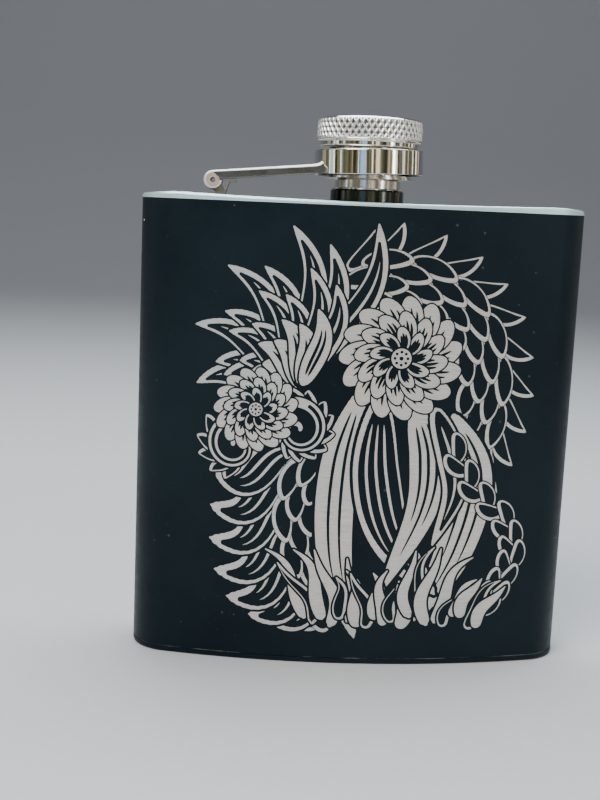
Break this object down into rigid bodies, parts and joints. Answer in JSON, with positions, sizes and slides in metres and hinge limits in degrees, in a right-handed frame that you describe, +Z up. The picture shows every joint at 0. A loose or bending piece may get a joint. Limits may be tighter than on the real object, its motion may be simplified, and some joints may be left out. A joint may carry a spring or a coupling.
{
  "type": "hip flask",
  "caption": "Curved black-coated steel hip flask with an engraved front and a knurled screw cap held captive by a ring on a hinged arm.",
  "frame": {"origin": "middle of the flask's footprint, on the surface it stands on", "axes": "+Z up the flask, -Y out of the engraved, bulging front, +X to the right seen from the front; the hinge is on the -X side"},
  "size_m": [0.095, 0.0252, 0.1165],
  "materials": {
    "black_coat": "satin black powder coat, faint cool cast, engraved through to the steel on the front",
    "turned_steel": "lathe-turned, fine rings",
    "stamped_steel": "bright rolled sheet",
    "polished_steel": "mirror polished stainless steel",
    "gasket_rubber": "pale food-grade silicone, matte",
    "filler_plastic": "moulded, matte"
  },
  "bodies": {
    "flask": {"front_panel": "black_coat", "back_panel": "black_coat", "top_plate": "black_coat", "bottom_plate": "black_coat", "neck_boss": "turned_steel", "neck_spout": "turned_steel", "hinge_bracket": "stamped_steel", "hinge_pin": "stamped_steel"},
    "arm": {"cap_arm": "polished_steel"},
    "washer": {"slip_washer": "stamped_steel"},
    "cap": {"cap_core": "turned_steel", "cap_gasket": "gasket_rubber", "cap_knob": "polished_steel", "knob_filler": "filler_plastic"}
  },
  "joints": [
    {"name": "arm_hinge", "type": "hinge", "parent": "flask", "child": "arm", "pos_m": [-0.0325, -0.00106, 0.1021], "axis": [0, -1, 0], "range_deg": [0, 175]},
    {"name": "cap_rise", "type": "slide", "parent": "arm", "child": "washer", "axis": [0, 0, 1], "range_m": [0, 0.00351]},
    {"name": "cap_turn", "type": "hinge", "parent": "washer", "child": "cap", "pos_m": [0, -0.00106, 0.106], "axis": [0, 0, 1], "range_deg": [0, 840]}
  ],
  "couplings": [
    {"joint": "cap_rise", "follows": "cap_turn", "m_per_rad": 0.00023873}
  ]
}
